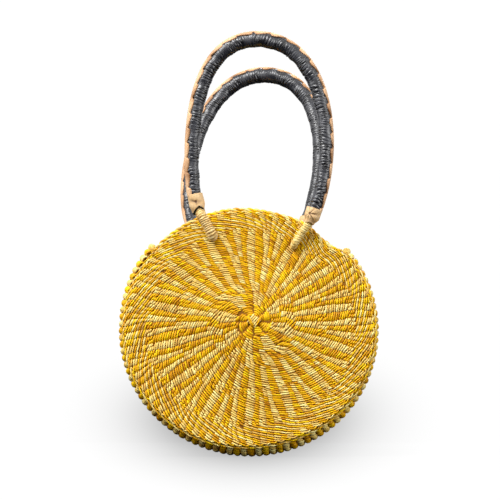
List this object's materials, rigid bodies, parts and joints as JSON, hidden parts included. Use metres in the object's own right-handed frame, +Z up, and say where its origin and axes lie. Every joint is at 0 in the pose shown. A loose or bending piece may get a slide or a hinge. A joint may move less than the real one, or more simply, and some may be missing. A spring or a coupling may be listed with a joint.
{
  "type": "round straw purse",
  "caption": "Round drum-shaped straw purse of twined discs and a side band, open at the top, with arched leather-covered carrying handles on straw loops.",
  "frame": {"origin": "middle of the flat under the side band, where the purse stands", "axes": "+Z up, +X to the right as the front disc is looked at, +Y from the front disc to the back disc"},
  "size_m": [0.2996, 0.1839, 0.4776],
  "materials": {
    "dyed_straw": "satin",
    "natural_straw": "satin",
    "black_leather": "satin",
    "tan_leather": "matte"
  },
  "bodies": {
    "bag": {"front_panel": "dyed_straw", "back_panel": "dyed_straw", "gusset": "dyed_straw", "front_mouth_border": "dyed_straw", "back_mouth_border": "dyed_straw", "front_start_knot": "natural_straw", "back_start_knot": "natural_straw", "front_seam_lashing": "natural_straw", "back_seam_lashing": "natural_straw", "gusset_left_end_binding": "natural_straw", "gusset_right_end_binding": "natural_straw", "front_left_loop": "natural_straw", "front_right_loop": "natural_straw", "back_left_loop": "natural_straw", "back_right_loop": "natural_straw", "front_left_loop_wrap": "natural_straw", "front_right_loop_wrap": "natural_straw", "back_left_loop_wrap": "natural_straw", "back_right_loop_wrap": "natural_straw"},
    "front_handle": {"front_handle_core": "natural_straw", "front_handle_sleeve": "black_leather", "front_handle_lacing": "tan_leather", "front_left_cap": "tan_leather", "front_right_cap": "tan_leather"},
    "back_handle": {"back_handle_core": "natural_straw", "back_handle_sleeve": "black_leather", "back_handle_lacing": "tan_leather", "back_left_cap": "tan_leather", "back_right_cap": "tan_leather"}
  },
  "joints": [
    {"name": "front_handle_swing", "type": "hinge", "parent": "bag", "child": "front_handle", "pos_m": [0.0059, -0.0521, 0.27288], "axis": [0.9862, -0.1091, -0.1249], "range_deg": [-14, 77]},
    {"name": "back_handle_swing", "type": "hinge", "parent": "bag", "child": "back_handle", "pos_m": [-0.00371, 0.0592, 0.2673], "axis": [-0.9996, 0, -0.0297], "range_deg": [-24, 67]}
  ]
}
